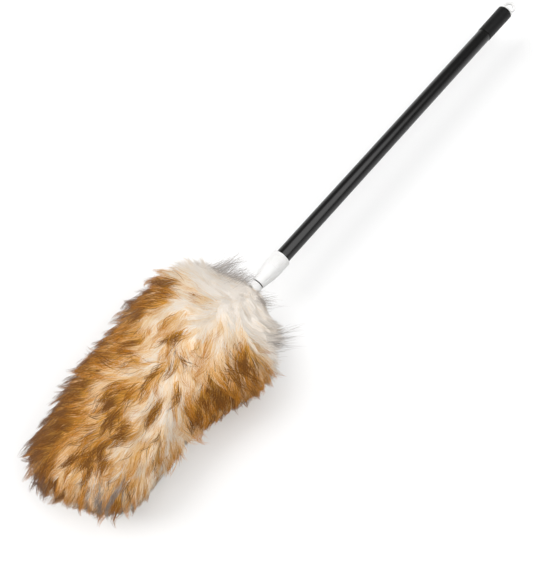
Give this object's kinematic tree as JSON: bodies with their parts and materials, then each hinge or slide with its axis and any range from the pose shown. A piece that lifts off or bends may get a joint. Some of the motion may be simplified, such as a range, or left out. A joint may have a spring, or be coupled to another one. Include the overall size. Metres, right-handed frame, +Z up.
{
  "type": "telescopic lambswool duster",
  "caption": "Long-handled duster: a soft flattened lambswool head on a telescopic black pole with a white twist-lock collar and an end cap with a hanging loop.",
  "frame": {"origin": "centre of the bounding box in X and Y, on the floor under the wool", "axes": "+X along the pole from the wool tip to the hanging loop, +Z up from the floor that the wool lies on"},
  "size_m": [0.8785, 0.1756, 0.1158],
  "materials": {
    "black_tube": "satin",
    "black_grip": "matte",
    "white_plastic": "satin",
    "natural_plastic": "matte",
    "steel": "satin",
    "hide": "matte",
    "wool": "matte"
  },
  "bodies": {
    "handle": {"outer_tube": "black_tube", "threaded_sleeve": "white_plastic", "sleeve_pin_left": "steel", "sleeve_pin_right": "steel", "end_grip": "black_grip", "end_cap": "white_plastic"},
    "clamp_ring": {"clamp_ring": "natural_plastic"},
    "lock_collar": {"lock_collar": "white_plastic"},
    "slider": {"guide_bush": "natural_plastic"},
    "head": {"inner_tube": "black_tube", "bush_clip": "steel", "tube_plug": "natural_plastic", "head_socket": "white_plastic", "socket_pin": "steel", "core_tube": "natural_plastic", "core_plug": "natural_plastic", "pelt_sleeve": "hide", "neck_binding": "steel", "wool_pile": "wool"}
  },
  "joints": [
    {"name": "clamp_shift", "type": "slide", "parent": "handle", "child": "clamp_ring", "axis": [-1, 0, 0], "range_m": [0, 0.00076]},
    {"name": "collar_twist", "type": "hinge", "parent": "clamp_ring", "child": "lock_collar", "pos_m": [-0.08, 0, 0.05], "axis": [-1, 0, 0], "range_deg": [0, 90]},
    {"name": "pole_extend", "type": "slide", "parent": "handle", "child": "slider", "axis": [-1, 0, 0], "range_m": [0, 0.33]},
    {"name": "head_swivel", "type": "hinge", "parent": "slider", "child": "head", "pos_m": [-0.11, 0, 0.05], "axis": [-1, 0, 0], "continuous": true}
  ],
  "couplings": [
    {"joint": "clamp_shift", "follows": "collar_twist", "m_per_rad": 0.00047746}
  ]
}
